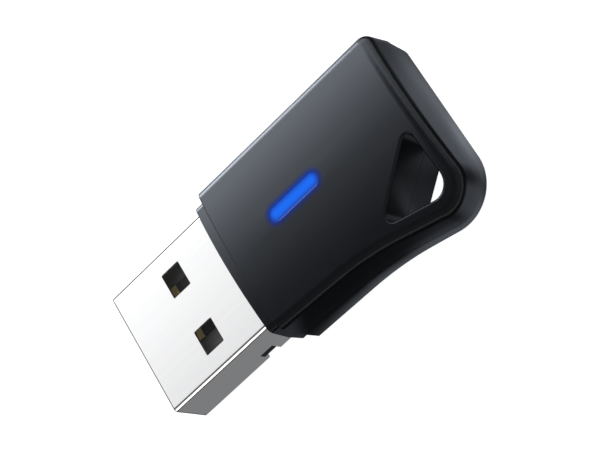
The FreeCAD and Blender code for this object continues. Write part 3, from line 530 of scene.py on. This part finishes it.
def background_white(name, glow, colour):
    """White to the camera and in reflections, and matt to the lamps, so that it keeps a faint
    shadow."""
    graph = material_graph(name)
    seen = graph.add("ShaderNodeLightPath").outputs
    shown = graph.math("MAXIMUM", seen["Is Camera Ray"], seen["Is Glossy Ray"])
    shown = graph.math("MAXIMUM", shown, seen["Is Transmission Ray"])
    white = graph.add("ShaderNodeEmission", {"Strength": graph.times(shown, glow)})
    matt = graph.add("ShaderNodeBsdfDiffuse", {"Color": (colour, colour, colour, 1.0)})
    both = graph.add("ShaderNodeAddShader", {0: white.outputs[0], 1: matt.outputs[0]})
    graph.show(both.outputs[0])
    return graph.owner


def stage_mesh(name, points, faces, material):
    mesh = bpy.data.meshes.new(name)
    mesh.from_pydata(points, [], faces)
    mesh.materials.append(material)
    made = add_object(name, mesh)
    return made


def stage_square(name, half, level, material):
    points = [(x * half, y * half, level) for x, y in ((-1, -1), (1, -1), (1, 1), (-1, 1))]
    return stage_mesh(name, points, [(0, 1, 2, 3)], material)


def make_floor(level):
    stage_square("floor", FLOOR_HALF, level,
                 background_white("floor_white", FLOOR_GLOW, FLOOR_COLOUR))


def make_wall(level):
    """A low round wall that stands on the floor, far outside the camera's view."""
    turns = [math.tau * step / WALL_STEPS for step in range(WALL_STEPS)]
    points = [(WALL_RADIUS * math.cos(turn), WALL_RADIUS * math.sin(turn), height)
              for height in (level, level + WALL_HEIGHT) for turn in turns]
    faces = []
    for step in range(WALL_STEPS):
        after = (step + 1) % WALL_STEPS
        faces.append((step, after, after + WALL_STEPS, step + WALL_STEPS))
    stage_mesh("wall", points, faces, background_white("wall_white", WALL_GLOW, WALL_COLOUR))


def card_grey(name):
    """The card's brightness: spots near the housing, and a level patch beside the plug."""
    graph = material_graph(name)
    x, y = graph.split(graph.place())[:2]
    total = CARD_FAR
    for (middle_x, middle_y), (radius_x, radius_y), brightness in CARD_SPOTS:
        across = graph.math("DIVIDE", graph.minus(x, middle_x * MM), radius_x * MM)
        along = graph.math("DIVIDE", graph.minus(y, middle_y * MM), radius_y * MM)
        squares = graph.plus(graph.times(across, across), graph.times(along, along))
        fall = graph.math("EXPONENT", graph.times(squares, squares, -1.0))
        total = graph.plus(total, graph.times(fall, brightness))
    beside = graph.times(graph.spread(x, CARD_PLUG_ENDS, (CARD_PLUG, 0), "SMOOTHSTEP"),
                         graph.spread(y, CARD_PLUG_SIDE, (0, 1), "SMOOTHSTEP"))
    glow = graph.add("ShaderNodeEmission", {
        "Color": opaque(STUDIO_TINT),
        "Strength": graph.plus(total, beside),
    })
    graph.show(glow.outputs[0])
    return graph.owner


def make_card(level):
    card = stage_square("card", CARD_HALF, level, card_grey("card_grey"))
    card.visible_camera = False
    card.visible_diffuse = False
    card.visible_transmission = False
    card.visible_shadow = False


def make_sky():
    world = bpy.data.worlds.new("studio")
    bpy.context.scene.world = world
    graph = Graph(world, "ShaderNodeOutputWorld")
    direction = graph.add("ShaderNodeTexCoord").outputs["Generated"]
    height = graph.split(direction)["Z"]
    level = graph.vector_math("MULTIPLY", direction, (1, 1, 0))
    flat = graph.vector_math("NORMALIZE", level)
    total = DOME
    for box in SOFT_BOXES.values():
        facing = graph.vector_math("DOT_PRODUCT", flat, direction_to(box["bearing"]))
        narrow = graph.times(graph.minus(facing, 1.0), box["narrowness"])
        shine = graph.times(graph.math("EXPONENT", narrow), box["brightness"])
        fade = graph.spread(height, box["fades"], (1, 0), "SMOOTHSTEP")
        if "rises" in box:
            rise = graph.spread(height, box["rises"], (box["low_share"], 1), "SMOOTHSTEP")
            fade = graph.times(fade, rise)
        total = graph.plus(graph.times(shine, fade), total)
    background = graph.add("ShaderNodeBackground", {
        "Color": opaque(STUDIO_TINT),
        "Strength": graph.math("MINIMUM", total, SKY_CEILING),
    })
    graph.show(background.outputs[0])


def add_lamp(name, kind, towards, distance, **settings):
    data = bpy.data.lights.new(name, kind)
    for key, value in settings.items():
        setattr(data, key, value)
    lamp = add_object(name, data)
    lamp.location = towards * distance
    lamp.rotation_euler = towards.to_track_quat("Z", "Y").to_euler()
    lamp.visible_camera = False
    return lamp


def make_overhead():
    overhead = add_lamp("overhead", "SUN", OVERHEAD_FROM, OVERHEAD_DISTANCE,
                        energy=LEVEL_LIGHT, angle=math.radians(OVERHEAD_SPREAD))
    overhead.visible_glossy = False


def make_linked_lamps():
    """The lamps that give the shell's bend and the housing's left edge their bright lines."""
    for name, lamp in LINKED_LAMPS.items():
        power = lamp["radiance"] * math.pi * lamp["width"] * lamp["height"]
        made = add_lamp(name, "AREA", direction_to(lamp["bearing"], lamp["tilt"]), LAMP_DISTANCE,
                        shape="RECTANGLE", size=lamp["width"], size_y=lamp["height"],
                        energy=power, color=STUDIO_TINT)
        lit = bpy.data.collections.new(name + "_lights")
        lit.objects.link(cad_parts[lamp["piece"]])
        made.light_linking.receiver_collection = lit


def make_camera():
    data = bpy.data.cameras.new("camera")
    data.sensor_width = SENSOR_MM
    data.lens = FOCAL_PIXELS / IMAGE_WIDTH * SENSOR_MM
    data.clip_start = CLIP_NEAR
    data.clip_end = CLIP_FAR
    camera = add_object("camera", data)
    back = (CAMERA_AT - CAMERA_LOOKS_AT).normalized()
    right = CAMERA_UP.cross(back).normalized()
    up = back.cross(right)
    turn = Matrix((right, up, back)).transposed().to_4x4()
    camera.matrix_world = Matrix.Translation(CAMERA_AT) @ turn
    bpy.context.scene.camera = camera


finish_shell_and_plug()
finish_board()
floor_level = cad_box[0].z - FLOOR_DROP
make_floor(floor_level)
make_card(floor_level + CARD_RISE)
make_wall(floor_level)
make_sky()
make_overhead()
make_linked_lamps()
make_camera()
bpy.context.scene.view_settings.view_transform = "Standard"
